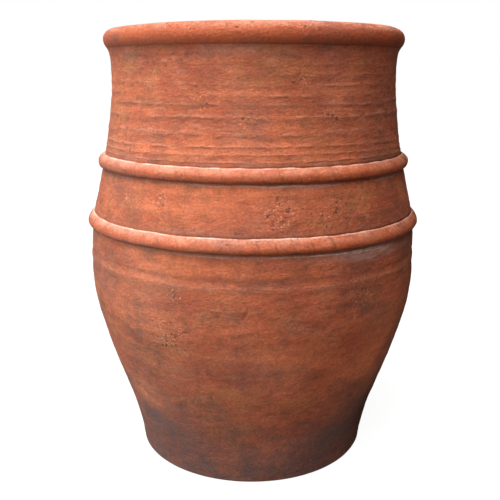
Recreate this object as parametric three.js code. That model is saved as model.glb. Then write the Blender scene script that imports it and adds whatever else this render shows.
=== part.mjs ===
// A large hand-built terracotta jar: an open, wide-mouthed amphora without handles, to stand on the ground.
// Units are millimetres. +Z is up, and the origin is the centre of the jar's underside.
//
// The jar is built up in stages. A clay slab makes the base, four wall rings stand one on another, and a
// thick rolled lip closes the top edge. Each ring has a tongue round its lower edge that sits in a channel
// in the piece below. Two half-round bands are pressed on round the outside, over two of those joints.
//
// Every piece is a ring, so each one is a closed outline of (radius, height) points turned about the axis.

import * as THREE from 'three';

// Driving dimensions.
const TURN_STEPS = 56; // facets round the jar; a multiple of four keeps the widest points on the axes
const WALL_THICKNESS = 18;
const SLIP_GAP = 0.3; // the width of a joint filled with slip, and of the gap behind a band

const BASE_THICKNESS = 22;
const FOOT_FLAT_RADIUS = 161.5; // where the flat underside ends and the foot's rounded corner starts
const FOOT_CORNER_WIDTH = 6.5;
const FOOT_CORNER_HEIGHT = 7;
const DRAIN_HOLE_RADIUS = 15;

const BELLY_JOINT = 292; // heights of the joints between the wall rings
const LOWER_BAND_JOINT = 346;
const UPPER_BAND_JOINT = 426;
const LIP_JOINT = 574;

const LIP_CENTRE = new THREE.Vector2(188.4, 586);
const LIP_HALF_WIDTH = 17;
const LIP_HALF_HEIGHT = 14;

const LOWER_BAND = { joint: LOWER_BAND_JOINT, reach: 7, halfHeight: 9.5 };
const UPPER_BAND = { joint: UPPER_BAND_JOINT, reach: 8, halfHeight: 9 };

const TONGUE_HALF_WIDTH = 4;
const TONGUE_DEPTH = 6;

// How many straight steps stand for each curve.
const TONGUE_STEPS = 3;
const FOOT_CORNER_STEPS = 3;
const LIP_STEPS = 14;
const BAND_STEPS = 7;
const WALL_LOOKUP_STEPS = 240;

// The outer face of the wall passes smoothly through these stations. Each joint falls on one of them.
const WALL_STATIONS = [
  [170, BASE_THICKNESS],
  [181.5, 70],
  [208, 150],
  [230, 233],
  [232.4, BELLY_JOINT],
  [228.6, LOWER_BAND_JOINT],
  [219.5, 388],
  [210.6, UPPER_BAND_JOINT],
  [203.5, 463],
  [197.6, 515],
  [196.4, 555],
  [198.2, LIP_JOINT],
].map(([radius, height]) => new THREE.Vector2(radius, height));

// Fired clay: darkest and dullest at the damp foot, palest where the bands and the lip are rubbed.
const CLAY = {
  base: { color: 0x8a4a38, roughness: 0.9 },
  lowerWall: { color: 0x9c523b, roughness: 0.88 },
  bellyWall: { color: 0xa85a3f, roughness: 0.85 },
  shoulderWall: { color: 0xb25f43, roughness: 0.85 },
  neckWall: { color: 0xb06146, roughness: 0.85 },
  lip: { color: 0xb8694c, roughness: 0.75 },
  band: { color: 0xc07452, roughness: 0.8 },
};

const wallCurve = new THREE.SplineCurve(WALL_STATIONS);

// How far along the wall curve, from 0 to 1, the station at a joint's height lies.
function shareOfWall(height) {
  return WALL_STATIONS.findIndex((station) => station.y === height) / (WALL_STATIONS.length - 1);
}

// Points on the outer face of the wall, from one joint's height up to another's.
function outerFace(bottomHeight, topHeight, steps) {
  const points = [];
  for (let step = 0; step <= steps; step += 1) {
    const share = THREE.MathUtils.lerp(shareOfWall(bottomHeight), shareOfWall(topHeight), step / steps);
    points.push(wallCurve.getPoint(share));
  }
  return points;
}

// The wall's outer radius at any height above its lowest station, read between close points of the curve.
function wallRadius(height) {
  const points = wallCurve.getPoints(WALL_LOOKUP_STEPS);
  const next = points.findIndex((point) => point.y > height);
  const below = points[next - 1];
  const above = points[next];
  return THREE.MathUtils.mapLinear(height, below.y, above.y, below.x, above.x);
}

// Points on an ellipse, from one angle to another in degrees. Zero points outwards and 90 points up.
function ellipseArc(centre, halfWidth, halfHeight, startDegrees, endDegrees, steps) {
  const points = [];
  for (let step = 0; step <= steps; step += 1) {
    const angle = THREE.MathUtils.degToRad(THREE.MathUtils.lerp(startDegrees, endDegrees, step / steps));
    const radius = centre.x + halfWidth * Math.cos(angle);
    const height = centre.y + halfHeight * Math.sin(angle);
    points.push(new THREE.Vector2(radius, height));
  }
  return points;
}

// The point at mid wall on the joint whose outer edge is given.
function midWall(outerEdge) {
  return new THREE.Vector2(outerEdge.x - WALL_THICKNESS / 2, outerEdge.y);
}

// The round tongue that hangs from a joint, from its inner side to its outer side.
function tongue(outerEdge) {
  return ellipseArc(midWall(outerEdge), TONGUE_HALF_WIDTH, TONGUE_DEPTH, 180, 360, TONGUE_STEPS);
}

// The channel that takes the tongue, a slip gap larger all round, from its outer side to its inner side.
function channel(outerEdge) {
  const halfWidth = TONGUE_HALF_WIDTH + SLIP_GAP;
  return ellipseArc(midWall(outerEdge), halfWidth, TONGUE_DEPTH + SLIP_GAP, 360, 180, TONGUE_STEPS);
}

// A ring turned from an outline that runs up its outside and down its inside. The mesh is placed at the
// height of its seat, which is the joint that it stands on.
function ringMesh(name, outline, seatHeight, clay) {
  const seat = new THREE.Vector2(0, seatHeight);
  const profile = outline.map((point) => point.clone().sub(seat));
  profile.push(profile[0].clone());
  const geometry = new THREE.LatheGeometry(profile, TURN_STEPS);
  geometry.rotateX(Math.PI / 2);
  const mesh = new THREE.Mesh(geometry, new THREE.MeshStandardMaterial({ ...clay, metalness: 0 }));
  mesh.name = name;
  mesh.position.z = seatHeight;
  return mesh;
}

// The base: a slab with a rounded foot, a drain hole, and a channel for the lowest wall ring.
function baseDisc() {
  const topEdge = WALL_STATIONS[0];
  const cornerCentre = new THREE.Vector2(FOOT_FLAT_RADIUS, FOOT_CORNER_HEIGHT);
  const outline = [
    ...ellipseArc(cornerCentre, FOOT_CORNER_WIDTH, FOOT_CORNER_HEIGHT, 270, 360, FOOT_CORNER_STEPS),
    topEdge,
    ...channel(topEdge),
    new THREE.Vector2(DRAIN_HOLE_RADIUS, BASE_THICKNESS),
    new THREE.Vector2(DRAIN_HOLE_RADIUS, 0),
  ];
  return ringMesh('base_disc', outline, 0, CLAY.base);
}

// A wall ring between two joints, with its tongue below and the channel for the next piece above.
function wallRing(name, bottomHeight, topHeight, steps, clay) {
  const outside = outerFace(bottomHeight, topHeight, steps);
  const inside = outside.map((point) => new THREE.Vector2(point.x - WALL_THICKNESS, point.y)).reverse();
  const outline = [...outside, ...channel(outside[steps]), ...inside, ...tongue(outside[0])];
  return ringMesh(name, outline, bottomHeight, clay);
}

// The rolled lip: most of an ellipse, cut flat where it sits on the neck, with its tongue below.
function rimRoll() {
  const cut = THREE.MathUtils.radToDeg(Math.asin((LIP_CENTRE.y - LIP_JOINT) / LIP_HALF_HEIGHT));
  const roll = ellipseArc(LIP_CENTRE, LIP_HALF_WIDTH, LIP_HALF_HEIGHT, -cut, 180 + cut, LIP_STEPS);
  const outline = [...roll, ...tongue(WALL_STATIONS[WALL_STATIONS.length - 1])];
  return ringMesh('rim_roll', outline, LIP_JOINT, CLAY.lip);
}

// A half-round band pressed against the wall over a joint. Its back follows the wall a slip gap away.
function band(name, { joint, reach, halfHeight }) {
  const centre = new THREE.Vector2(wallRadius(joint) + SLIP_GAP, joint);
  const crown = ellipseArc(centre, reach, halfHeight, -90, 90, BAND_STEPS);
  crown[0].x = wallRadius(crown[0].y) + SLIP_GAP;
  crown[BAND_STEPS].x = wallRadius(crown[BAND_STEPS].y) + SLIP_GAP;
  return ringMesh(name, [...crown, centre], joint, CLAY.band);
}

const jar = new THREE.Group();
jar.add(baseDisc());
jar.add(wallRing('lower_wall', BASE_THICKNESS, BELLY_JOINT, 8, CLAY.lowerWall));
jar.add(wallRing('belly_wall', BELLY_JOINT, LOWER_BAND_JOINT, 2, CLAY.bellyWall));
jar.add(wallRing('shoulder_wall', LOWER_BAND_JOINT, UPPER_BAND_JOINT, 4, CLAY.shoulderWall));
jar.add(wallRing('neck_wall', UPPER_BAND_JOINT, LIP_JOINT, 8, CLAY.neckWall));
jar.add(rimRoll());
jar.add(band('lower_band', LOWER_BAND));
jar.add(band('upper_band', UPPER_BAND));

export default jar;
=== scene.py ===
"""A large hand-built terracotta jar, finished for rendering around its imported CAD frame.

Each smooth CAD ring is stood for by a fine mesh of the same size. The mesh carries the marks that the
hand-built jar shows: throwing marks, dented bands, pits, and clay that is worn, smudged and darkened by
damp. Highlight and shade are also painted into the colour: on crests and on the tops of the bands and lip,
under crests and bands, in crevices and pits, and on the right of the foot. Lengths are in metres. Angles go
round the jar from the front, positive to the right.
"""

import math

import bpy
import numpy as np
from mathutils import Euler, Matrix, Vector


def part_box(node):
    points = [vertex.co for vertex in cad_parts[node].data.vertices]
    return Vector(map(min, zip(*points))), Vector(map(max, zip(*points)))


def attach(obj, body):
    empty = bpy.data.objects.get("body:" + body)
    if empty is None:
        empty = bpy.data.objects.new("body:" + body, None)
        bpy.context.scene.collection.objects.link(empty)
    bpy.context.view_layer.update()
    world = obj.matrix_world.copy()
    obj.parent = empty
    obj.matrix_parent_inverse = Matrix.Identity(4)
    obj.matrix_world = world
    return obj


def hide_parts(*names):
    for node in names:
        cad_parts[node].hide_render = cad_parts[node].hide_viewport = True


MM = 0.001
FULL_TURN = 2 * math.pi

# How finely the jar is meshed.
TURN_STEPS = 640
BAND_TURN_STEPS = 1280
FINE_ROW = 0.9 * MM
FINE_REACH = 8 * MM
OUTSIDE_ROW = {
    "lower_wall": 2.6 * MM,
    "belly_wall": 2.0 * MM,
    "shoulder_wall": 1.7 * MM,
    "neck_wall": 1.4 * MM,
}
INSIDE_ROW = 9 * MM
BAND_STEPS = 30
LIP_STEPS = 60
SHARP_EDGE = math.radians(55)

# Joints between the pieces, as the CAD cuts them.
SLIP_GAP = 0.3 * MM
TONGUE_HALF_WIDTH = 4 * MM
TONGUE_DEPTH = 6 * MM
LIP_HALF_HEIGHT = 14 * MM
FOOT_SIDE_REACH = 6.5 * MM  # from the edge of the flat underside to the foot's side
FOOT_CORNER = 4.5 * MM
JOINT_ARC_STEPS = 6

# Marks of making.
OUT_OF_ROUND = 0.4 * MM
LEAN = 0.0045  # how far the jar leans to the right, for each metre that it rises, in metres
LUMP_DEPTH = 0.16 * MM
MARK_DEPTH = 0.36 * MM
FINE_MARK_DEPTH = 0.07 * MM
BELLY_RING_HEIGHT = 0.5 * MM
LIP_FLARE = 2.6 * MM
COIL_MARKS = 60
COIL_MARK_DEPTH = 0.7 * MM
LIP_SAG = 1.2 * MM
BAND_TILT = 0.6 * MM

# Camera, set to the photograph's viewing angle.
CAMERA_DISTANCE = 1.009
CAMERA_HEIGHT = 0.543
CAMERA_PITCH = math.radians(14.33)
CAMERA_YAW = math.radians(0.15)
CAMERA_ROLL = math.radians(0.1)
CAMERA_LENS = 50.1
CAMERA_SENSOR = 36.0

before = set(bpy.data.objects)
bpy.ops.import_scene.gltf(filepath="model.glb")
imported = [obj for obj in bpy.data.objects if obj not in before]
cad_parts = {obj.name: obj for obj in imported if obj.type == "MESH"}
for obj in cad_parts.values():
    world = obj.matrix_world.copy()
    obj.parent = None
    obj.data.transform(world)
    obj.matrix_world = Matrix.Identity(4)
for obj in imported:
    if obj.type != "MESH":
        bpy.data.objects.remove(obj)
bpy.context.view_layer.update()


def angles_round(steps):
    return np.linspace(0, FULL_TURN, steps, endpoint=False)[None, :]


turn = angles_round(TURN_STEPS)
band_turn = angles_round(BAND_TURN_STEPS)


# ---- Reading the CAD frame ----

class SmoothCurve:
    """A smooth curve through stations, given in rising order."""

    def __init__(self, places, values):
        self.places = np.asarray(places, float)
        self.values = np.asarray(values, float)
        self.slopes = np.gradient(self.values, self.places)

    def __call__(self, place):
        place = np.asarray(place, float)
        below = np.clip(np.searchsorted(self.places, place) - 1, 0, len(self.places) - 2)
        span = self.places[below + 1] - self.places[below]
        share = (place - self.places[below]) / span
        rise = share * share * (3 - 2 * share)
        start_pull = share * (1 - share) ** 2 * span * self.slopes[below]
        end_pull = share * share * (share - 1) * span * self.slopes[below + 1]
        between = self.values[below] + rise * (self.values[below + 1] - self.values[below])
        return between + start_pull + end_pull


LEAST_WALL = 10 * MM  # a wall ring is thicker than this, and its tongues are narrower
LEAST_SLAB = 100 * MM  # the base slab reaches further than this from its drain hole
LEVEL_DIGITS = 5  # decimal places of a metre to which heights are the same level


def ring_levels(node, least_spread):
    """The CAD ring's inner and outer radius at each height where the two are at least least_spread apart."""
    points = np.array([vertex.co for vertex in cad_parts[node].data.vertices])
    heights = points[:, 2].round(LEVEL_DIGITS)
    radii = np.hypot(points[:, 0], points[:, 1])
    levels = {}
    for height in np.unique(heights):
        ring = radii[heights == height]
        if np.ptp(ring) > least_spread:
            levels[float(height)] = (ring.min(), ring.max())
    return levels


WALL_RINGS = ("lower_wall", "belly_wall", "shoulder_wall", "neck_wall")
wall_levels = {}
for ring_name in WALL_RINGS:
    wall_levels.update(ring_levels(ring_name, LEAST_WALL))
wall_heights = sorted(wall_levels)
inner_radius = SmoothCurve(wall_heights, [wall_levels[height][0] for height in wall_heights])
outer_radius = SmoothCurve(wall_heights, [wall_levels[height][1] for height in wall_heights])

base_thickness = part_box("base_disc")[1].z
belly_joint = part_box("lower_wall")[1].z
lower_band_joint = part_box("belly_wall")[1].z
upper_band_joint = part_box("shoulder_wall")[1].z
lip_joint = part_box("neck_wall")[1].z
JOINTS = {
    "lower_wall": (base_thickness, belly_joint),
    "belly_wall": (belly_joint, lower_band_joint),
    "shoulder_wall": (lower_band_joint, upper_band_joint),
    "neck_wall": (upper_band_joint, lip_joint),
}


# ---- Noise and shaping ----

class RingNoise:
    """Smooth noise over the angle round the jar and the height up it, about 1 in size.

    It closes after a full turn.
    """

    def __init__(self, seed, most_waves, wave_height, count=24):
        draw = np.random.default_rng(seed)
        self.waves = draw.integers(-most_waves, most_waves + 1, count)
        self.rates = draw.normal(0, FULL_TURN / wave_height, count)
        self.phases = draw.uniform(0, FULL_TURN, count)

    def __call__(self, angle, height):
        total = 0
        for waves, rate, phase in zip(self.waves, self.rates, self.phases):
            total = total + np.cos(waves * angle + rate * height + phase)
        return total / math.sqrt(len(self.waves) / 2)


def smooth_step(value, low, high):
    share = np.clip((value - low) / (high - low), 0, 1)
    return share * share * (3 - 2 * share)


def hump(value, centre, width):
    """A smooth hump, 1 high at its centre."""
    return np.exp(-((value - centre) / width) ** 2)


slow_wave = RingNoise(11, 3, 260 * MM, 12)
lump_wave = RingNoise(12, 26, 45 * MM, 40)
mark_drift = RingNoise(13, 3, 90 * MM, 12)
mark_strength = RingNoise(14, 11, 22 * MM, 30)
mark_breaks = RingNoise(21, 36, 16 * MM, 40)
crooked = RingNoise(20, 100, 25 * MM, 50)
fine_drift = RingNoise(15, 9, 40 * MM, 16)
fine_strength = RingNoise(16, 14, 26 * MM, 24)
line_wave = RingNoise(17, 40, 300 * MM, 30)
line_patches = RingNoise(18, 14, 300 * MM, 16)
smear_patches = RingNoise(19, 10, 120 * MM, 20)


# ---- Relief of the wall ----

BANDS = {}
for band_name in ("lower_band", "upper_band"):
    band_low, band_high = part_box(band_name)
    BANDS[band_name] = (band_low.z, band_high.z)


def angle_between(angle, other):
    return (angle - other + math.pi) % FULL_TURN - math.pi


def clear_of_bands(height):
    """0 behind a band or at the lip, and 1 from a few millimetres away."""
    clear = smooth_step(lip_joint - height, 0, 9 * MM)
    for low, high in BANDS.values():
        gap = np.maximum(low - height, height - high)
        clear = clear * smooth_step(gap, 0, 6 * MM)
    return clear


def out_of_round(angle, height):
    """How far the jar stands out of the true round."""
    return OUT_OF_ROUND * slow_wave(angle, height)


# Heights of the hollows between the throwing marks. They are about a finger apart, and closer near the band.
NECK_HOLLOWS = np.array([428, 437, 445, 453, 463, 484, 501.5, 513, 524, 537, 549, 559, 571]) * MM
BODY_HOLLOW_GAP = 13.5 * MM
BODY_HOLLOWS = np.arange(6 * MM, 420 * MM, BODY_HOLLOW_GAP)
MARK_HOLLOWS = np.concatenate((BODY_HOLLOWS, NECK_HOLLOWS))


def mark_share(height):
    """How strong the throwing marks are, up to 1: strong on the neck, faint on the shoulder and the belly."""
    heights = np.array([0, 90, 200, 320, 350, 400, 440, 475, 530, 550, 574]) * MM
    shares = np.array([0.1, 0.15, 0.25, 0.3, 0.15, 0.3, 0.75, 1, 0.55, 0.35, 0.25])
    return np.interp(height, heights, shares)


# Just over the upper band the marks are sharp all the way round.
SHARP_MARKS_TOP = 458 * MM


def throwing_marks(angle, height):
    """Round hollows as wide as a finger between sharp crests, and the shade painted under each crest.

    The relief goes from about -1 at the bottom of the deepest groove to 1.8 on the sharpest crest. The
    painted shade goes from 0 to 0.85.
    """
    wander = 1.0 * MM * mark_drift(angle, height) + 0.4 * MM * crooked(angle, height)
    count = np.interp(height + wander, MARK_HOLLOWS, np.arange(len(MARK_HOLLOWS)))
    strength = 0.75 + 0.38 * mark_strength(angle, height) + 0.3 * mark_breaks(angle, height)
    strength = np.clip(strength, 0.1, 1.6)
    strength = np.maximum(strength, 0.9 * smooth_step(SHARP_MARKS_TOP - height, 0, 8 * MM))
    relief = 1.7 * (1 - np.abs(np.cos(math.pi * count))) - 0.6
    place = count % 1
    shade = smooth_step(place, 0, 0.32) * smooth_step(0.47 - place, 0, 0.1)
    return relief * strength, 0.85 * shade * np.clip(strength, 0, 1)


FINE_MARK_GAP = 4.1 * MM


def fine_marks(angle, height):
    """Fine scratches round the wall, which come and go."""
    phase = FULL_TURN * (height + 2 * MM * fine_drift(angle, height)) / FINE_MARK_GAP
    return np.cos(phase) * np.clip(0.3 + 0.7 * fine_strength(angle, height), 0, 1.4)


def belly_ring(height):
    """The faint raised ring over the belly joint, between two shallow hollows."""
    crest = belly_joint + 2.5 * MM
    hollows = hump(height, crest + 10 * MM, 3.5 * MM) + hump(height, crest - 11 * MM, 4 * MM)
    return hump(height, crest, 4.5 * MM) - 0.8 * hollows


def lip_flare(height):
    """The wall swells out where it meets the lip's rounded underside."""
    return LIP_FLARE * np.exp(-np.abs(height - lip_joint) / (4.5 * MM))


# Lines of clay that smoothing left under the bands: band, drop below it, angle, half length and strength.
# The angles are in degrees.
SMEAR_LINES = (
    ("upper_band", 2.3 * MM, 8, 24, 0.8),
    ("upper_band", 3.0 * MM, 58, 16, 0.6),
    ("upper_band", 2.6 * MM, -62, 14, 0.8),
    ("upper_band", 2.6 * MM, -160, 50, 0.7),
    ("lower_band", 2.6 * MM, 4, 26, 0.5),
    ("lower_band", 2.8 * MM, 32, 13, 1.5),
    ("lower_band", 5.2 * MM, 38, 9, 1.2),
    ("lower_band", 8.0 * MM, 44, 7, 0.6),
    ("lower_band", 2.6 * MM, -66, 12, 0.6),
    ("lower_band", 4.0 * MM, 130, 34, 0.9),
    ("lower_band", 3.0 * MM, -130, 30, 0.7),
)
SMEAR_LINE_WIDTH = 0.8 * MM


def smear_line(angle, height):
    """The thin crooked lines of clay just under each band: 0 where there is none, and 1 or more on a line."""
    total = 0
    for name, drop, degrees, half_length, strength in SMEAR_LINES:
        level = BANDS[name][0] - drop
        near = hump(angle_between(angle, math.radians(degrees)), 0, math.radians(half_length))
        middle = level + 0.5 * MM * line_wave(angle, level)
        broken = np.clip(0.7 + 0.6 * line_patches(angle, level), 0, 1)
        total = total + strength * near * broken * hump(height, middle, SMEAR_LINE_WIDTH)
    return total


# Where the smear under the lower band is widest.
WIDE_SMEAR_ANGLE = math.radians(40)
WIDE_SMEAR_SPREAD = 0.35  # radians


def smear(angle, height):
    """Grey slip smeared on the wall beside each band and under the lip: 0 for none, 1 or more for full."""
    ragged = height + 1.6 * MM * smear_patches(angle, height)
    strength = np.clip(0.55 + 0.4 * line_patches(angle, height), 0.1, 1)
    total = 0
    for low, high in BANDS.values():
        total = total + smooth_step(ragged, low - 5 * MM, low - 1 * MM) * (height < low + 4 * MM)
        total = total + 0.4 * hump(ragged, high + 2 * MM, 4 * MM)
    wide = smooth_step(ragged, BANDS["lower_band"][0] - 20 * MM, BANDS["lower_band"][0] - 12 * MM)
    near = hump(angle_between(angle, WIDE_SMEAR_ANGLE), 0, WIDE_SMEAR_SPREAD)
    wide = wide * (height < lower_band_joint) * near
    under_lip = smooth_step(ragged, lip_joint - 16 * MM, lip_joint - 5 * MM)
    patches = np.clip(0.2 + smear_patches(angle, 0.4 * height), 0, 1)
    return total * strength + wide + 0.6 * under_lip * patches


# Dark smudges: angle in degrees, height, half width, half height, and how dark they are.
STAINS = (
    (-23, 562 * MM, 8 * MM, 5 * MM, 0.5),
    (-14, 562 * MM, 18 * MM, 6 * MM, 0.5),
    (11, 563 * MM, 16 * MM, 5 * MM, 0.5),
    (-50, 562 * MM, 34 * MM, 7 * MM, 0.6),
    (53, 505 * MM, 20 * MM, 18 * MM, 1.0),
    (54, 455 * MM, 20 * MM, 20 * MM, 0.5),
    (-20, 505 * MM, 22 * MM, 3 * MM, 0.4),
    (36, 331 * MM, 40 * MM, 7 * MM, 0.4),
    (43, 488 * MM, 26 * MM, 34 * MM, 0.4),
    (46, 440 * MM, 40 * MM, 7 * MM, 0.9),
    (52, 372 * MM, 60 * MM, 7 * MM, 0.5),
    (70, 306 * MM, 40 * MM, 40 * MM, 0.5),
    (-50, 318 * MM, 22 * MM, 8 * MM, 0.5),
    (6, 303 * MM, 34 * MM, 6 * MM, 0.7),
    (-25, 180 * MM, 34 * MM, 20 * MM, 0.3),
    (-14, 112 * MM, 26 * MM, 30 * MM, 0.9),
    (-26, 70 * MM, 20 * MM, 24 * MM, 0.4),
    (-6, 82 * MM, 26 * MM, 16 * MM, 0.6),
    (62, 84 * MM, 46 * MM, 44 * MM, 0.8),
    (38, 130 * MM, 30 * MM, 24 * MM, 0.5),
    (28, 50 * MM, 24 * MM, 26 * MM, 0.3),
    (-6, 56 * MM, 22 * MM, 14 * MM, 0.6),
    (-30, 208 * MM, 22 * MM, 9 * MM, 0.5),
    (37, 257 * MM, 14 * MM, 8 * MM, 0.7),
    (68, 500 * MM, 24 * MM, 40 * MM, 0.4),
    (68, 340 * MM, 30 * MM, 8 * MM, 0.5),
    (-50, 288 * MM, 22 * MM, 6 * MM, 0.6),
    (62, 326 * MM, 30 * MM, 12 * MM, 0.7),
    (-44, 507 * MM, 34 * MM, 5 * MM, 0.6),
    (36, 372 * MM, 20 * MM, 6 * MM, 0.3),
    (100, 230 * MM, 60 * MM, 40 * MM, 0.4),
    (170, 130 * MM, 70 * MM, 50 * MM, 0.5),
    (-120, 520 * MM, 40 * MM, 12 * MM, 0.5),
)
# Brighter orange patches, in the same way.
BRIGHT_PATCHES = (
    (0, 490 * MM, 130 * MM, 70 * MM, 0.2),
    (-12, 555 * MM, 36 * MM, 8 * MM, 0.6),
    (32, 546 * MM, 20 * MM, 10 * MM, 0.7),
    (30, 506 * MM, 20 * MM, 14 * MM, 0.9),
    (0, 467 * MM, 30 * MM, 6 * MM, 0.7),
    (-4, 520 * MM, 60 * MM, 6 * MM, 0.8),
    (30, 522 * MM, 30 * MM, 8 * MM, 0.8),
    (-2, 486 * MM, 30 * MM, 10 * MM, 0.7),
    (4, 457 * MM, 45 * MM, 13 * MM, 1.0),
    (-10, 409 * MM, 110 * MM, 8 * MM, 0.8),
    (-40, 410 * MM, 50 * MM, 6 * MM, 0.5),
    (-5, 390 * MM, 110 * MM, 14 * MM, 0.5),
    (2, 372 * MM, 40 * MM, 6 * MM, 0.5),
    (-38, 328 * MM, 40 * MM, 10 * MM, 1.2),
    (-10, 317 * MM, 20 * MM, 8 * MM, 0.8),
    (-24, 315 * MM, 54 * MM, 20 * MM, 0.5),
    (-33, 304 * MM, 32 * MM, 13 * MM, 1.2),
    (-8, 288 * MM, 44 * MM, 6 * MM, 0.6),
    (-37, 262 * MM, 30 * MM, 26 * MM, 0.9),
    (-8, 248 * MM, 34 * MM, 12 * MM, 0.5),
    (-36, 240 * MM, 60 * MM, 14 * MM, 1.2),
    (-34, 386 * MM, 40 * MM, 6 * MM, 0.7),
    (-58, 338 * MM, 30 * MM, 12 * MM, 0.8),
    (-40, 453 * MM, 60 * MM, 6 * MM, 0.8),
    (48, 152 * MM, 30 * MM, 14 * MM, 0.6),
    (6, 205 * MM, 50 * MM, 24 * MM, 0.9),
    (10, 165 * MM, 24 * MM, 26 * MM, 0.7),
    (50, 195 * MM, 44 * MM, 60 * MM, 1.0),
    (-6, 208 * MM, 18 * MM, 9 * MM, 0.8),
    (-28, 182 * MM, 24 * MM, 22 * MM, 1.0),
    (36, 165 * MM, 30 * MM, 22 * MM, 0.8),
    (-46, 118 * MM, 32 * MM, 20 * MM, 1.1),
    (10, 40 * MM, 34 * MM, 24 * MM, 0.9),
    (-110, 400 * MM, 60 * MM, 14 * MM, 0.7),
    (140, 470 * MM, 60 * MM, 12 * MM, 0.7),
    (180, 260 * MM, 80 * MM, 30 * MM, 0.6),
)
# Darker rings round the wall: height, half height, and how dark they are.
DARK_RINGS = (
    (506 * MM, 4 * MM, 0.35),
    (485 * MM, 8 * MM, 0.3),
    (439 * MM, 4 * MM, 0.3),
    (364 * MM, 7 * MM, 0.3),
    (272 * MM, 6 * MM, 0.3),
)


def patch_cover(patches, angle, height):
    """How strongly the patches cover each place, added up."""
    total = 0
    for degrees, centre, half_width, half_height, strength in patches:
        across = angle_between(angle, math.radians(degrees)) * outer_radius(centre)
        total = total + strength * hump(across, 0, half_width) * hump(height, centre, half_height)
    return total


def ring_cover(rings, height):
    total = 0
    for centre, half_height, strength in rings:
        total = total + strength * hump(height, centre, half_height)
    return total


DAMP_REACH_FRONT = 104 * MM
DAMP_EXTRA_REACH_SIDES = 70 * MM
LEAST_DAMP_ANGLE = math.radians(8)


def damp(angle, height):
    """How damp the clay is, from 1 at the foot to 0. It has risen least near the front and the back."""
    reach = DAMP_REACH_FRONT + DAMP_EXTRA_REACH_SIDES * np.sin(angle - LEAST_DAMP_ANGLE) ** 2
    return np.clip(1 - height / reach, 0, 1)


# Painted shade on the right of the foot, which faces away from the lamps, given as the smudges are.
PAINTED_SHADE_PATCHES = ((74, 70 * MM, 52 * MM, 54 * MM, 1.3),)


def painted_shade(angle, height):
    """Painted shade in the crevices beside each band and under the lip, heavier over the bands on the right,
    and on the right of the foot: 0 for none, 1 for full.
    """
    total = 0.4 * hump(height, lip_joint + 2 * MM, 5 * MM) + patch_cover(PAINTED_SHADE_PATCHES, angle, height)
    # Painted shade in the crevice over each band, heavier on the right, and in the crevice under it.
    for low, high in BANDS.values():
        over = (0.6 + 0.4 * np.sin(angle)) * hump(height, high + 1 * MM, 2 * MM)
        total = total + 0.7 * hump(height, low + 1.6 * MM, 1.2 * MM) + over
    return total


# Patches where small stones burst out of the clay: angle in degrees, height, spread and how thick they lie.
PITTED_PATCHES = (
    (-46, 389 * MM, 15 * MM, 0.9),
    (-30, 394 * MM, 14 * MM, 1.0),
    (8, 384 * MM, 22 * MM, 1.2),
    (26, 384 * MM, 24 * MM, 0.7),
    (-28, 357 * MM, 10 * MM, 1.0),
    (-56, 430 * MM, 14 * MM, 0.9),
    (-27, 230 * MM, 26 * MM, 1.1),
    (-24, 284 * MM, 12 * MM, 0.9),
    (35, 283 * MM, 24 * MM, 0.7),
    (28, 493 * MM, 18 * MM, 0.8),
    (-2, 491 * MM, 12 * MM, 0.8),
    (4, 452 * MM, 14 * MM, 0.6),
    (16, 534 * MM, 16 * MM, 0.7),
    (-47, 449 * MM, 14 * MM, 0.7),
    (-18, 512 * MM, 20 * MM, 0.6),
    (95, 380 * MM, 26 * MM, 0.9),
    (150, 260 * MM, 34 * MM, 0.9),
    (-100, 470 * MM, 30 * MM, 0.8),
    (-140, 210 * MM, 34 * MM, 0.9),
    (-170, 385 * MM, 24 * MM, 1.0),
    (120, 500 * MM, 30 * MM, 0.8),
)
EVERYWHERE_PITTED = 0.2


def pitted(angle, height):
    """How thickly small pits lie over the wall, from 0 to 1."""
    total = EVERYWHERE_PITTED
    for degrees, centre, spread, thickness in PITTED_PATCHES:
        across = angle_between(angle, math.radians(degrees)) * outer_radius(centre)
        total = total + thickness * np.exp(-(across ** 2 + (height - centre) ** 2) / spread ** 2)
    return np.clip(total, 0, 1)


# Nicks cut by a tool: angle in degrees, height, half length, half width, depth, and lean to the right.
NICKS = (
    (-2, 265 * MM, 4.5 * MM, 1.8 * MM, 1.5 * MM, 0.5),
    (-33, 223 * MM, 3.5 * MM, 1.8 * MM, 1.2 * MM, -0.4),
    (10, 377 * MM, 3.0 * MM, 1.8 * MM, 1.4 * MM, 0.3),
    (6, 374 * MM, 2.5 * MM, 1.8 * MM, 1.3 * MM, 1.0),
    (16, 445 * MM, 2.5 * MM, 2.5 * MM, 1.2 * MM, 0.0),
    (133, 300 * MM, 5.0 * MM, 2.0 * MM, 1.5 * MM, -0.6),
    (-110, 330 * MM, 4.0 * MM, 2.0 * MM, 1.5 * MM, 0.7),
)


def nick_depth(angle, height):
    depth = 0
    for degrees, centre, half_length, half_width, deepest, lean in NICKS:
        up = height - centre
        across = angle_between(angle, math.radians(degrees)) * outer_radius(centre) - lean * up
        depth = depth + deepest * np.exp(-(across / half_width) ** 2 - (up / half_length) ** 2)
    return depth


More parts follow.
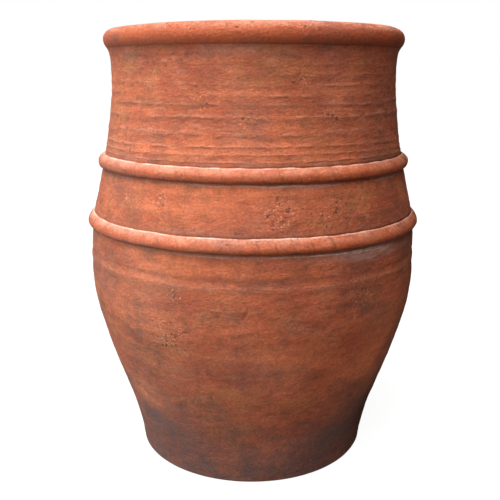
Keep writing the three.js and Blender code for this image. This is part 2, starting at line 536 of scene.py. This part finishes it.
def wall_relief(angle, height):
    """How far the outside stands out from the smooth wall, and the masks that colour it."""
    clear = clear_of_bands(height)
    marks, mark_shade = throwing_marks(angle, height)
    share = mark_share(height) * clear
    nicks = nick_depth(angle, height)
    ring = belly_ring(height)
    line = smear_line(angle, height)
    # Paler on the crests of the throwing marks and of the belly ring: wear, and painted highlight where the
    # crests face the light.
    pale = smooth_step(marks * share, 0.1, 0.9) + 0.7 * smooth_step(ring, 0.2, 1)
    bright = np.clip(patch_cover(BRIGHT_PATCHES, angle, height), 0, 1)
    # Painted shade under each crest, in the hollows beside the belly ring and in the nicks, and darker rings
    # round the wall.
    dark = mark_shade * share + 0.6 * smooth_step(-ring, 0, 1) + nicks / MM
    dark = dark + ring_cover(DARK_RINGS, height)
    relief = MARK_DEPTH * marks * share + BELLY_RING_HEIGHT * ring + 0.5 * MM * line
    relief = relief + FINE_MARK_DEPTH * fine_marks(angle, height) * clear
    relief = relief + LUMP_DEPTH * lump_wave(angle, height) * clear
    relief = relief - nicks + lip_flare(height) + out_of_round(angle, height)
    masks = {
        "hollow_shade_and_dark_rings": np.clip(dark, 0, 1),
        "crest": np.clip(pale, 0, 1),
        "chalk_and_highlight": np.clip(line, 0, 1),
        "smear": np.clip(smear(angle, height), 0, 1),
        "stain": np.clip(patch_cover(STAINS, angle, height), 0, 1),
        "bright": bright,
        "damp": damp(angle, height) * (1 - 0.6 * bright),
        "pitted": pitted(angle, height) * (0.3 + 0.7 * clear),
        "painted_shade": np.clip(painted_shade(angle, height), 0, 1),
    }
    return relief, masks


# ---- Building meshes ----

def arc(centre, half_width, half_height, start_degrees, end_degrees, steps):
    """Points on an ellipse as (radius, height) rows. Zero degrees points outwards and 90 points up."""
    angles = np.radians(np.linspace(start_degrees, end_degrees, steps + 1))
    radii = centre[0] + half_width * np.cos(angles)
    heights = centre[1] + half_height * np.sin(angles)
    return np.column_stack((radii, heights))


def mid_wall(height):
    return (outer_radius(height) + inner_radius(height)) / 2, height


def tongue(height):
    """The tongue under a joint, from its inner side to its outer side."""
    return arc(mid_wall(height), TONGUE_HALF_WIDTH, TONGUE_DEPTH, 180, 360, JOINT_ARC_STEPS)


def channel(height):
    """The channel that takes the tongue, from its outer side to its inner side."""
    half_width = TONGUE_HALF_WIDTH + SLIP_GAP
    return arc(mid_wall(height), half_width, TONGUE_DEPTH + SLIP_GAP, 360, 180, JOINT_ARC_STEPS)


def level_rows(low, high, row):
    return np.linspace(low, high, max(2, round((high - low) / row) + 1))


def outside_rows(low, high, row):
    """Heights up the outside, closer together just under and over each band."""
    edges = [edge for band_range in BANDS.values() for edge in band_range]
    heights = [low]
    while heights[-1] < high - 0.5 * row:
        near = min(abs(heights[-1] - edge) for edge in edges) < FINE_REACH
        heights.append(heights[-1] + (FINE_ROW if near else row))
    heights[-1] = high
    return np.array(heights)


def ring_object(name, radius, height, masks):
    """A closed ring from grids of radius and height, with a row for each point of the outline."""
    rows, steps = radius.shape
    angle = angles_round(steps)
    across = radius * np.sin(angle) + LEAN * height
    points = np.stack((across, -radius * np.cos(angle), height), axis=-1).reshape(-1, 3)
    row, column = np.meshgrid(np.arange(rows), np.arange(steps), indexing="ij")
    next_row = (row + 1) % rows
    next_column = (column + 1) % steps
    corners = [
        row * steps + column,
        row * steps + next_column,
        next_row * steps + next_column,
        next_row * steps + column,
    ]
    faces = np.stack(corners, axis=-1).reshape(-1, 4)
    mesh = bpy.data.meshes.new(name)
    mesh.vertices.add(len(points))
    mesh.vertices.foreach_set("co", points.ravel())
    mesh.loops.add(faces.size)
    mesh.loops.foreach_set("vertex_index", faces.ravel())
    mesh.polygons.add(len(faces))
    mesh.polygons.foreach_set("loop_start", np.arange(0, faces.size, 4))
    mesh.update(calc_edges=True)
    for mask_name, values in masks.items():
        attribute = mesh.attributes.new(mask_name, "FLOAT", "POINT")
        attribute.data.foreach_set("value", np.broadcast_to(values, radius.shape).astype(np.float32).ravel())
    mesh.validate()
    mesh.polygons.foreach_set("use_smooth", np.ones(len(mesh.polygons), bool))
    mesh.set_sharp_from_angle(angle=SHARP_EDGE)
    piece = bpy.data.objects.new(name, mesh)
    bpy.context.scene.collection.objects.link(piece)
    return piece


def finish_piece(piece, node, material):
    piece.data.materials.append(material)
    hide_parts(node)
    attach(piece, "root")


MASKS = ("hollow_shade_and_dark_rings", "crest", "chalk_and_highlight", "smear", "stain", "bright", "damp", "painted_shade", "pitted", "inside")


def stack_rows(*parts, steps=TURN_STEPS):
    """Joins outline parts, each (radius grid, height grid, masks), into full grids."""
    shapes = [(len(height), steps) for _radius, height, _masks in parts]
    radius = np.vstack([np.broadcast_to(part[0], shape) for part, shape in zip(parts, shapes)])
    height = np.vstack([np.broadcast_to(part[1], shape) for part, shape in zip(parts, shapes)])
    masks = {}
    for name in MASKS:
        grids = [np.broadcast_to(part[2].get(name, 0.0), shape) for part, shape in zip(parts, shapes)]
        masks[name] = np.vstack(grids)
    return radius, height, masks


def plain_part(outline):
    """Outline points that stay smooth, out of sight in a joint or inside the jar."""
    return outline[:, :1], outline[:, 1:], {"inside": 1.0}


inner_wave = RingNoise(31, 5, 70 * MM, 16)
FINGER_MARK_GAP = 26 * MM


def inside_part(heights):
    """The inside of the wall, from the top down, with soft finger marks."""
    levels = heights[::-1][:, None]
    fade = smooth_step(levels - heights[0], 0, 12 * MM) * smooth_step(heights[-1] - levels, 0, 12 * MM)
    finger_marks = 0.5 * MM * np.sin(FULL_TURN * (levels / FINGER_MARK_GAP + turn / FULL_TURN))
    marks = finger_marks + 0.3 * MM * inner_wave(turn, levels)
    return inner_radius(levels) + fade * marks, levels, {"inside": 1.0}


def wall_ring(name):
    low, high = JOINTS[name]
    outside = outside_rows(low, high, OUTSIDE_ROW[name])[:, None]
    relief, masks = wall_relief(turn, outside)
    outside_part = (outer_radius(outside) + relief, outside, masks)
    inside = inside_part(level_rows(low, high, INSIDE_ROW))
    grids = stack_rows(outside_part, plain_part(channel(high)), inside, plain_part(tongue(low)))
    return ring_object(name + "_clay", *grids)


def base_disc():
    """The slab: rounded foot, channel for the wall, and a drain hole at the middle."""
    foot_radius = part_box("base_disc")[1].x
    hole_radius, flat_radius = ring_levels("base_disc", LEAST_SLAB)[0.0]
    side_radius = flat_radius + FOOT_SIDE_REACH
    corner = arc((side_radius - FOOT_CORNER, FOOT_CORNER), FOOT_CORNER, FOOT_CORNER, 270, 360, 8)
    side = np.linspace(corner[-1], (foot_radius, base_thickness), 9)[1:]
    edge = np.vstack((corner, side))
    edge_height = edge[:, 1:]
    relief, masks = wall_relief(turn, edge_height)
    share = smooth_step(edge_height, 0, FOOT_CORNER)
    edge_part = (edge[:, :1] + relief * share, edge_height, masks)
    inner_edge = inner_radius(base_thickness) - 1 * MM
    floor_inside = np.linspace((inner_edge, base_thickness), (hole_radius, base_thickness), 8)
    underside = np.linspace((hole_radius, 0), (flat_radius - 12 * MM, 0), 6)
    flat_parts = [plain_part(part) for part in (channel(base_thickness), floor_inside, underside)]
    return ring_object("base_disc_clay", *stack_rows(edge_part, *flat_parts))


lip_lumps = RingNoise(42, 20, 90 * MM, 30)
lip_patches = RingNoise(43, 16, 60 * MM, 24)
LIP_SAG_ANGLE = math.radians(-60)
LIP_SAG_SPREAD = 0.6  # radians, like the next one
LIP_SMUDGE_SPREAD = 0.07
LIP_SMUDGE_ANGLE = math.radians(360 - 57)


def rim_roll():
    """The rolled lip, a little uneven in height and thickness, as the hand leaves it."""
    box_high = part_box("rim_roll")[1]
    centre_radius = mid_wall(lip_joint)[0]
    centre_height = box_high.z - LIP_HALF_HEIGHT
    half_width = box_high.x - centre_radius
    cut = math.degrees(math.asin((centre_height - lip_joint) / LIP_HALF_HEIGHT))
    roll = arc((centre_radius, centre_height), half_width, LIP_HALF_HEIGHT, -cut, 180 + cut, LIP_STEPS)
    across = ((roll[:, 0] - centre_radius) / half_width)[:, None]
    up = ((roll[:, 1] - centre_height) / LIP_HALF_HEIGHT)[:, None]
    level = roll[:, 1:]
    share = smooth_step(level, lip_joint, lip_joint + 8 * MM)
    lumps = 0.15 * MM * lip_lumps(turn, level + 0.3 * roll[:, :1]) * share
    flare = lip_flare(level) * (across > 0)
    sag = LIP_SAG * hump(angle_between(turn, LIP_SAG_ANGLE), 0, LIP_SAG_SPREAD) * smooth_step(up, 0, 1)
    radius = roll[:, :1] + out_of_round(turn, lip_joint) + flare + lumps * across
    height = level + lumps * up - sag
    outside = across > -0.5
    speckle = smooth_step(up, 0, 0.5) * np.clip(0.8 + 0.3 * lip_patches(turn, level), 0.4, 1)
    # The lip's top is painted paler as a highlight, and its underside darker as painted shade.
    masks = {
        "inside": 1.0 - outside,
        "pitted": 0.85 * speckle * outside,
        "painted_shade": 0.28 * smooth_step(-up, 0.1, 0.8) * outside,
        "crest": 1.5 * smooth_step(up, 0.1, 0.85) * outside,
        "chalk_and_highlight": 0.12 * smooth_step(up, 0.7, 1.0) * outside,
        "stain": 0.7 * hump(turn, LIP_SMUDGE_ANGLE, LIP_SMUDGE_SPREAD) * hump(up, -0.1, 0.4),
    }
    return ring_object("rim_roll_clay", *stack_rows((radius, height, masks), plain_part(tongue(lip_joint))))


coil_drift = {"lower_band": RingNoise(51, 9, 300 * MM, 12), "upper_band": RingNoise(52, 9, 300 * MM, 12)}
coil_lumps = {"lower_band": RingNoise(53, 50, 30 * MM, 40), "upper_band": RingNoise(54, 50, 30 * MM, 40)}
edge_wave = {"lower_band": RingNoise(55, 45, 300 * MM, 30), "upper_band": RingNoise(56, 45, 300 * MM, 30)}
# How far each band's crown lies below its middle, as a share of half its height.
CROWN_SAG = {"lower_band": 0.2, "upper_band": -0.05}
FLANK_ROUNDNESS = 1.5  # 2 makes the upper flank a part of an ellipse, and less makes it straighter
FIRST_COIL_MARK = math.radians(2)
COIL_MARK_WIDTH = 0.055  # as a share of the way from one finger mark to the next
COIL_SLANT = 0.16  # how far a mark leans from a band's middle to its edge, as the same share
MOST_PRESSED_ANGLE = math.radians(4)
MOST_PRESSED_SPREAD = 0.3  # radians
BAND_TILT_ANGLE = math.radians(20)  # where the bands sit highest
BACK_ROW = 4 * MM


def band_bulge(rise, sag):
    """How far a band stands out, up to 1, at each rise from -1 at its lower edge to 1 at its upper edge."""
    above = np.clip((rise + sag) / (1 + sag), 0, 1)
    below = np.clip((-rise - sag) / (1 - sag), 0, 1)
    return (1 - above ** FLANK_ROUNDNESS) ** (1 / FLANK_ROUNDNESS) * np.sqrt(1 - below ** 2)


def coil_place(name, lift):
    """Where each point of a band lies between two slanting finger marks, from 0 to 1."""
    drift = 0.25 * coil_drift[name](band_turn, 0) + COIL_SLANT * np.sin(lift)
    count = COIL_MARKS * (band_turn - FIRST_COIL_MARK) / FULL_TURN + drift
    return count - np.floor(count)


def band(name):
    """A half-round band on the wall, with the slanting dents that pressing it on with a finger left."""
    low, high = BANDS[name]
    joint = (low + high) / 2
    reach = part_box(name)[1].x - outer_radius(joint) - SLIP_GAP
    lift = np.radians(np.linspace(-90, 90, BAND_STEPS + 1))[:, None]
    level = joint + (high - low) / 2 * np.sin(lift)
    place = coil_place(name, lift)
    front = hump(angle_between(band_turn, MOST_PRESSED_ANGLE), 0, MOST_PRESSED_SPREAD)
    pressed = np.clip(0.4 + 0.5 * coil_drift[name](band_turn, 9 * MM) + 0.9 * front, 0.1, 1.1)
    dent = hump(np.minimum(place, 1 - place), 0, COIL_MARK_WIDTH) * pressed
    relief = 0.15 * MM * coil_lumps[name](band_turn, level) - COIL_MARK_DEPTH * dent
    wall = outer_radius(level) + out_of_round(band_turn, level) + SLIP_GAP
    radius = wall + reach * band_bulge(np.sin(lift), CROWN_SAG[name]) + relief * np.cos(lift)
    edge = 0.25 * MM * edge_wave[name](band_turn, 0) + 0.3 * MM * (place - 0.5)
    tilt = BAND_TILT * np.cos(band_turn - BAND_TILT_ANGLE)
    height = level + edge * np.abs(np.sin(lift)) ** 3 + tilt
    # A pale line along the top edge, partly dust and partly painted highlight.
    top_edge = hump(lift, math.radians(70), math.radians(8))
    # Painted highlight over the upper flank, stronger on the left, towards the lamps.
    left_flank_highlight = smooth_step(lift, 0, math.radians(60)) * (0.06 - 0.16 * np.sin(band_turn))
    # The dents are painted darker as shade, the upper half paler as painted highlight, and the underside
    # darker as painted shade.
    masks = {
        "hollow_shade_and_dark_rings": dent,
        "chalk_and_highlight": 0.85 * top_edge * np.clip(0.8 + 0.4 * edge_wave[name](band_turn, 7 * MM), 0, 1) + left_flank_highlight,
        "crest": 1.4 * smooth_step(lift, math.radians(-15), math.radians(50)),
        "painted_shade": 0.8 * smooth_step(-lift, math.radians(15), math.radians(75)),
        "pitted": 0.45,
    }
    back = level_rows(low, high, BACK_ROW)[::-1][1:-1, None]
    back_radius = outer_radius(back) + out_of_round(band_turn, back) + SLIP_GAP
    back_part = (back_radius, back + tilt, {"inside": 1.0})
    return ring_object(name + "_clay", *stack_rows((radius, height, masks), back_part, steps=BAND_TURN_STEPS))


# ---- Materials ----

# The colour sockets of a mix node, which has sockets of the same names for other kinds of data too.
MIX_FIRST_COLOUR = 6
MIX_SECOND_COLOUR = 7
MIX_RESULT_COLOUR = 2


class NodeTree:
    """Builds the nodes of a material or the world. Most methods return an output for the next node."""

    def __init__(self, owner):
        owner.use_nodes = True
        self.nodes = owner.node_tree.nodes
        self.links = owner.node_tree.links
        self.nodes.clear()

    def add(self, kind, inputs, **settings):
        node = self.nodes.new(kind)
        for key, value in settings.items():
            setattr(node, key, value)
        for key, value in inputs.items():
            if isinstance(value, bpy.types.NodeSocket):
                self.links.new(value, node.inputs[key])
            else:
                node.inputs[key].default_value = value
        return node

    def place(self, stretch):
        """The place on the object, squeezed so that noise on it is stretched sideways."""
        coordinates = self.add("ShaderNodeTexCoord", {}).outputs["Object"]
        inputs = {"Vector": coordinates, "Scale": (1, 1, stretch)}
        return self.add("ShaderNodeMapping", inputs).outputs["Vector"]

    def noise(self, stretch, scale, detail=4.0, roughness=0.55):
        inputs = {"Vector": self.place(stretch), "Scale": scale, "Detail": detail, "Roughness": roughness}
        return self.add("ShaderNodeTexNoise", inputs).outputs["Fac"]

    def between(self, value, low, high, out_low=0.0, out_high=1.0):
        """Maps low..high smoothly onto out_low..out_high, and holds the ends."""
        inputs = {"Value": value, "From Min": low, "From Max": high, "To Min": out_low, "To Max": out_high}
        return self.add("ShaderNodeMapRange", inputs, interpolation_type="SMOOTHSTEP").outputs["Result"]

    def math(self, operation, first, second):
        return self.add("ShaderNodeMath", {0: first, 1: second}, operation=operation).outputs["Value"]

    def product(self, first, second):
        return self.math("MULTIPLY", first, second)

    def total(self, first, second):
        return self.math("ADD", first, second)

    def difference(self, first, second):
        return self.math("SUBTRACT", first, second)

    def mix(self, factor, first, second, blend="MIX"):
        node = self.add("ShaderNodeMix", {"Factor": factor}, data_type="RGBA", blend_type=blend)
        for index, value in ((MIX_FIRST_COLOUR, first), (MIX_SECOND_COLOUR, second)):
            socket = node.inputs[index]
            if isinstance(value, bpy.types.NodeSocket):
                self.links.new(value, socket)
            else:
                socket.default_value = (*value, 1.0)
        return node.outputs[MIX_RESULT_COLOUR]

    def mask(self, name):
        return self.add("ShaderNodeAttribute", {}, attribute_name=name).outputs["Fac"]

    def height(self):
        coordinates = self.add("ShaderNodeTexCoord", {}).outputs["Object"]
        return self.add("ShaderNodeSeparateXYZ", {"Vector": coordinates}).outputs["Z"]


# Colours of the fired clay, in linear light.
ORANGE = (0.60, 0.145, 0.056)
RED = (0.47, 0.097, 0.041)
OCHRE = (0.52, 0.182, 0.060)
BROWN = (0.24, 0.068, 0.030)
WARM = (0.50, 0.086, 0.018)
# Pale clay, also painted as highlight on crests and on the tops of the bands and lip.
PALE = (0.76, 0.305, 0.185)
BRIGHT = (0.88, 0.235, 0.095)
# Pale for chalky lines under the bands, and for painted highlight on the tops of the bands and lip.
CHALK_AND_HIGHLIGHT = (0.85, 0.580, 0.480)
CHIP = (0.80, 0.330, 0.200)
SMUDGE = (0.165, 0.070, 0.043)
MAUVE = (0.520, 0.255, 0.205)
# Painted shade for crevices, undersides and the right of the foot.
PAINTED_SHADE_BROWN = (0.090, 0.026, 0.013)
# Painted shade inside pits.
PIT_SHADE = (0.070, 0.028, 0.016)
DAMP = (0.155, 0.090, 0.082)
INSIDE = (0.40, 0.110, 0.048)

# Heights. The clay is blotchy below the first of them and streaky above the second.
SMOOTH_BELOW = 0.40
STREAKED_ABOVE = 0.45


def streak_share(tree, below, above):
    return tree.between(tree.height(), SMOOTH_BELOW, STREAKED_ABOVE, below, above)


def clay_colour(tree, warmth):
    """The clay's own colour: orange, red and ochre patches, brown streaks, and mottling."""
    patches = tree.between(tree.noise(1.6, 14.0, 6.0, 0.65), 0.40, 0.60)
    colour = tree.mix(patches, ORANGE, RED)
    ochre = tree.between(tree.noise(1.3, 19.0, 6.0, 0.65), 0.48, 0.66)
    colour = tree.mix(tree.product(ochre, 0.55), colour, OCHRE)
    streaks = tree.between(tree.noise(3.5, 30.0, 8.0, 0.7), 0.48, 0.66)
    colour = tree.mix(tree.product(streaks, streak_share(tree, 0.16, 0.22)), colour, BROWN)
    mottle = tree.between(tree.noise(1.4, 70.0, 7.0, 0.75), 0.5, 0.65)
    colour = tree.mix(tree.product(mottle, 0.62), colour, BROWN)
    blotches = tree.between(tree.noise(1.3, 28.0, 7.0, 0.68), 0.5, 0.62)
    colour = tree.mix(tree.product(blotches, streak_share(tree, 0.5, 0.15)), colour, BROWN)
    pale_streaks = tree.between(tree.noise(2.6, 38.0, 8.0, 0.7), 0.5, 0.68)
    colour = tree.mix(tree.product(pale_streaks, streak_share(tree, 0.25, 0.34)), colour, PALE)
    lines = tree.between(tree.noise(24.0, 9.0, 5.0, 0.62), 0.5, 0.66)
    colour = tree.mix(tree.product(lines, streak_share(tree, 0.05, 0.1)), colour, BROWN)
    return tree.mix(warmth, colour, WARM)


def worn_colour(tree, colour):
    """Handling, weather and painted light: crests and tops painted paler as highlight (with wear on the
    wall's crests), painted shade in hollows, crevices and undersides, grey smears, chalky lines and a damp
    foot.
    """
    bright = tree.between(tree.noise(1.5, 36.0, 7.0, 0.7), 0.32, 0.6, 0.25, 0.85)
    colour = tree.mix(tree.product(tree.mask("bright"), bright), colour, BRIGHT)
    # Paler on crests and on the tops of the bands and lip: painted highlight, and wear on the wall's crests
    # as well.
    crest = tree.between(tree.noise(2.2, 44.0, 6.0, 0.7), 0.4, 0.6, 0.1, 0.5)
    colour = tree.mix(tree.product(tree.mask("crest"), crest), colour, PALE)
    # Painted shade in the hollows under crests, beside the belly ring, in nicks and in band dents, and the
    # darker rings round the wall.
    hollow_shade_and_dark_rings = tree.between(tree.noise(2.4, 34.0, 7.0, 0.7), 0.4, 0.6, 0.1, 0.65)
    colour = tree.mix(tree.product(tree.mask("hollow_shade_and_dark_rings"), hollow_shade_and_dark_rings), colour, BROWN)
    stain = tree.between(tree.noise(1.3, 34.0, 7.0, 0.7), 0.32, 0.62, 0.1, 0.95)
    colour = tree.mix(tree.product(tree.mask("stain"), stain), colour, SMUDGE)
    smudges = tree.between(tree.noise(1.3, 12.0, 8.0, 0.74), 0.53, 0.69, 0.0, 0.55)
    colour = tree.mix(smudges, colour, SMUDGE)
    smear = tree.between(tree.noise(3.0, 40.0, 4.0), 0.35, 0.6, 0.35, 0.8)
    colour = tree.mix(tree.product(tree.mask("smear"), smear), colour, MAUVE)
    ragged = tree.between(tree.noise(1.0, 9.0, 4.0, 0.6), 0.3, 0.7, -0.25, 0.25)
    damp = tree.between(tree.total(tree.mask("damp"), ragged), -0.1, 0.75)
    damp = tree.product(damp, tree.between(tree.noise(1.2, 26.0, 7.0, 0.7), 0.35, 0.65, 0.98, 0.65))
    colour = tree.mix(damp, colour, DAMP)
    # Painted shade in crevices, under the lip and the bands, on the undersides, and on the right of the foot.
    painted_shade = tree.between(tree.noise(1.5, 50.0, 5.0), 0.35, 0.6, 0.6, 0.95)
    colour = tree.mix(tree.product(tree.mask("painted_shade"), painted_shade), colour, PAINTED_SHADE_BROWN)
    # Chalky slip lines under the bands, a partly dusty top edge on each band, and painted highlight on the
    # band and lip tops.
    chalk_and_highlight = tree.between(tree.noise(1.0, 90.0, 3.0), 0.36, 0.54, 0.45, 0.95)
    return tree.mix(tree.product(tree.mask("chalk_and_highlight"), chalk_and_highlight), colour, CHALK_AND_HIGHLIGHT)


def specks(tree, scale, chance):
    """Small ragged specks. Chance is the share of cells with a speck where the clay is most pitted."""
    cells = tree.add("ShaderNodeTexVoronoi", {"Vector": tree.place(1.0), "Scale": scale})
    draw = tree.add("ShaderNodeSeparateColor", {"Color": cells.outputs["Color"]}).outputs["Red"]
    size = tree.difference(tree.product(tree.mask("pitted"), chance), draw)
    ragged = tree.between(tree.noise(1.0, 3 * scale, 2.0), 0.3, 0.7, -0.06, 0.06)
    distance = tree.total(cells.outputs["Distance"], ragged)
    return tree.between(tree.difference(tree.product(size, 0.7), distance), 0.0, 0.08)


def fired_clay(name, warmth, polish):
    """Unglazed fired clay. Warmth makes it a plainer warm orange, and polish makes it smoother."""
    material = bpy.data.materials.new(name)
    tree = NodeTree(material)
    pits = specks(tree, 170.0, 0.75)
    chips = specks(tree, 210.0, 0.6)
    flecks = specks(tree, 400.0, 0.9)
    grain = tree.noise(1.2, 300.0, 4.0, 0.65)
    colour = worn_colour(tree, clay_colour(tree, warmth))
    colour = tree.mix(tree.product(chips, 0.7), colour, CHIP)
    colour = tree.mix(tree.product(flecks, 0.55), colour, CHIP)
    # Pits painted darker inside, as shade.
    colour = tree.mix(tree.product(pits, 0.5), colour, PIT_SHADE)
    colour = tree.mix(tree.product(tree.mask("inside"), 0.6), colour, INSIDE)
    tint = tree.between(grain, 0.32, 0.68, 0.84, 1.14)
    grain_colour = tree.add("ShaderNodeCombineColor", {"Red": tint, "Green": tint, "Blue": tint})
    colour = tree.mix(1.0, colour, grain_colour.outputs["Color"], "MULTIPLY")

    dents = tree.between(tree.noise(1.5, 66.0, 7.0, 0.74), 0.3, 0.7, 0.0, 0.9 * MM)
    dents = tree.product(dents, tree.between(tree.mask("crest"), 0.0, 1.0, 1.0, 1.7))
    scrapes = tree.between(tree.noise(14.0, 14.0, 5.0, 0.62), 0.3, 0.7, 0.0, 0.22 * MM)
    scrapes = tree.product(scrapes, streak_share(tree, 0.3, 1.0))
    grit = tree.between(grain, 0.3, 0.7, 0.0, 0.28 * MM)
    grit = tree.product(grit, tree.between(tree.mask("pitted"), 0.0, 1.0, 0.9, 2.2))
    surface = tree.total(tree.total(dents, scrapes), grit)
    surface = tree.difference(tree.product(surface, 1 - polish), tree.product(pits, 1.2 * MM))
    surface = tree.total(surface, tree.product(flecks, 0.3 * MM))
    bump = tree.add("ShaderNodeBump", {"Height": surface, "Strength": 1.0, "Distance": 1.0})

    rough_low = 0.62 - 0.2 * polish
    roughness = tree.between(tree.noise(3.0, 60.0, 4.0), 0.3, 0.7, rough_low, rough_low + 0.2)
    dull = tree.total(tree.mask("damp"), tree.mask("painted_shade"))
    specular = tree.between(dull, 0.0, 1.0, 0.45, 0.08)
    inputs = {
        "Base Color": colour, "Roughness": roughness,
        "Specular IOR Level": specular, "Normal": bump.outputs["Normal"],
    }
    shader = tree.add("ShaderNodeBsdfPrincipled", inputs)
    tree.add("ShaderNodeOutputMaterial", {"Surface": shader.outputs["BSDF"]})
    return material


# ---- Stage ----

FLOOR_SIZE = 12.0
FLOOR_GREY = 0.18
SHADOW_START = 0.2  # the floor glows more and more from this far from the jar's axis
SHADOW_REACH = 0.9  # and is white from this far outwards
SHADOWED_GLOW = 0.93


def pale_floor():
    """A pale floor that takes a faint shadow near the jar, and glows white further out like the backdrop."""
    bpy.ops.mesh.primitive_plane_add(size=FLOOR_SIZE, location=(0, 0, 0))
    floor = bpy.context.object
    floor.name = "floor"
    material = bpy.data.materials.new("pale_floor")
    floor.data.materials.append(material)
    tree = NodeTree(material)
    coordinates = tree.add("ShaderNodeTexCoord", {}).outputs["Object"]
    distance = tree.add("ShaderNodeVectorMath", {0: coordinates}, operation="LENGTH").outputs["Value"]
    glow_strength = tree.between(distance, SHADOW_START, SHADOW_REACH, SHADOWED_GLOW, 1.0)
    diffuse = tree.add("ShaderNodeBsdfDiffuse", {"Color": (FLOOR_GREY, FLOOR_GREY, FLOOR_GREY, 1)})
    glow = tree.add("ShaderNodeEmission", {"Color": (1, 1, 1, 1), "Strength": glow_strength})
    mixed = tree.add("ShaderNodeAddShader", {0: diffuse.outputs[0], 1: glow.outputs[0]})
    tree.add("ShaderNodeOutputMaterial", {"Surface": mixed.outputs[0]})
    floor.visible_diffuse = False
    floor.visible_glossy = False
    floor.visible_shadow = False


def direction(side, rise):
    """A unit vector, from degrees round from the front, positive to the right, and degrees up."""
    side = math.radians(side)
    rise = math.radians(rise)
    return Vector((math.sin(side) * math.cos(rise), -math.cos(side) * math.cos(rise), math.sin(rise)))


LAMP_DISTANCE = 3.0
LAMP_AIM = Vector((0, 0, 0.3))
WARM_LIGHT = (1.0, 0.80, 0.68)
COOL_LIGHT = (0.84, 0.97, 1.0)
SKY_LIGHT = (0.60, 0.92, 1.0)
WHITE_LIGHT = (1.0, 1.0, 1.0)


def soft_lamp(name, side, rise, size, power, colour):
    light = bpy.data.lights.new(name, "AREA")
    light.color = colour
    light.shape = "DISK"
    light.size = size
    light.energy = power
    lamp = bpy.data.objects.new(name, light)
    toward = direction(side, rise)
    lamp.location = LAMP_AIM + LAMP_DISTANCE * toward
    lamp.rotation_euler = toward.to_track_quat("Z", "Y").to_euler()
    bpy.context.scene.collection.objects.link(lamp)


COOL_SIDE = (-75, 5)  # degrees round from the front, and degrees up
DIM_GLOW = 0.06
SIDE_GLOW = 0.65
FLOOR_GLOW = 0.13


def studio_world():
    """White behind the jar for the camera. For everything else, a dim room that glows cool on the left, and
    light that a pale floor would send up."""
    world = bpy.data.worlds.new("studio")
    bpy.context.scene.world = world
    tree = NodeTree(world)
    toward = tree.add("ShaderNodeTexCoord", {}).outputs["Generated"]
    cool_side = direction(*COOL_SIDE)
    leftward = tree.add("ShaderNodeVectorMath", {0: toward, 1: cool_side}, operation="DOT_PRODUCT")
    upward = tree.add("ShaderNodeSeparateXYZ", {"Vector": toward}).outputs["Z"]
    side_glow = tree.between(leftward.outputs["Value"], -0.5, 1.2, DIM_GLOW, SIDE_GLOW)
    floor_glow = tree.between(upward, -0.7, 0.15, FLOOR_GLOW, 0.0)
    colour = tree.mix(side_glow, WARM_LIGHT, COOL_LIGHT)
    room = tree.add("ShaderNodeBackground", {"Color": colour, "Strength": tree.total(side_glow, floor_glow)})
    white = tree.add("ShaderNodeBackground", {"Color": (1, 1, 1, 1)})
    seen = tree.add("ShaderNodeLightPath", {}).outputs["Is Camera Ray"]
    mixed = tree.add("ShaderNodeMixShader", {0: seen, 1: room.outputs[0], 2: white.outputs[0]})
    tree.add("ShaderNodeOutputWorld", {"Surface": mixed.outputs[0]})


def photo_camera():
    camera = bpy.data.cameras.new("camera")
    camera.lens = CAMERA_LENS
    camera.sensor_width = CAMERA_SENSOR
    holder = bpy.data.objects.new("camera", camera)
    holder.location = (0, -CAMERA_DISTANCE, CAMERA_HEIGHT)
    aim = Euler((math.pi / 2 - CAMERA_PITCH, 0, CAMERA_YAW), "XYZ").to_matrix()
    holder.rotation_euler = (aim @ Euler((0, 0, CAMERA_ROLL)).to_matrix()).to_euler()
    bpy.context.scene.collection.objects.link(holder)
    bpy.context.scene.camera = holder


# ---- The jar ----

wall_clay = fired_clay("wall_clay", warmth=0.0, polish=0.0)
band_clay = fired_clay("band_clay", warmth=0.45, polish=0.5)
lip_clay = fired_clay("lip_clay", warmth=0.75, polish=0.15)

finish_piece(base_disc(), "base_disc", wall_clay)
for ring_name in WALL_RINGS:
    finish_piece(wall_ring(ring_name), ring_name, wall_clay)
finish_piece(rim_roll(), "rim_roll", lip_clay)
for band_name in BANDS:
    finish_piece(band(band_name), band_name, band_clay)

pale_floor()
soft_lamp("key", side=-80, rise=66, size=1.8, power=88, colour=WHITE_LIGHT)
soft_lamp("front_top", side=-9, rise=58, size=2.6, power=84, colour=WHITE_LIGHT)
# This one is below the floor, which casts no shadow, and stands for light that a pale floor sends up.
soft_lamp("low_left", side=-78, rise=-14, size=2.0, power=30, colour=SKY_LIGHT)
studio_world()
photo_camera()
bpy.context.scene.view_settings.view_transform = "Standard"
bpy.context.scene.cycles.use_denoising = True
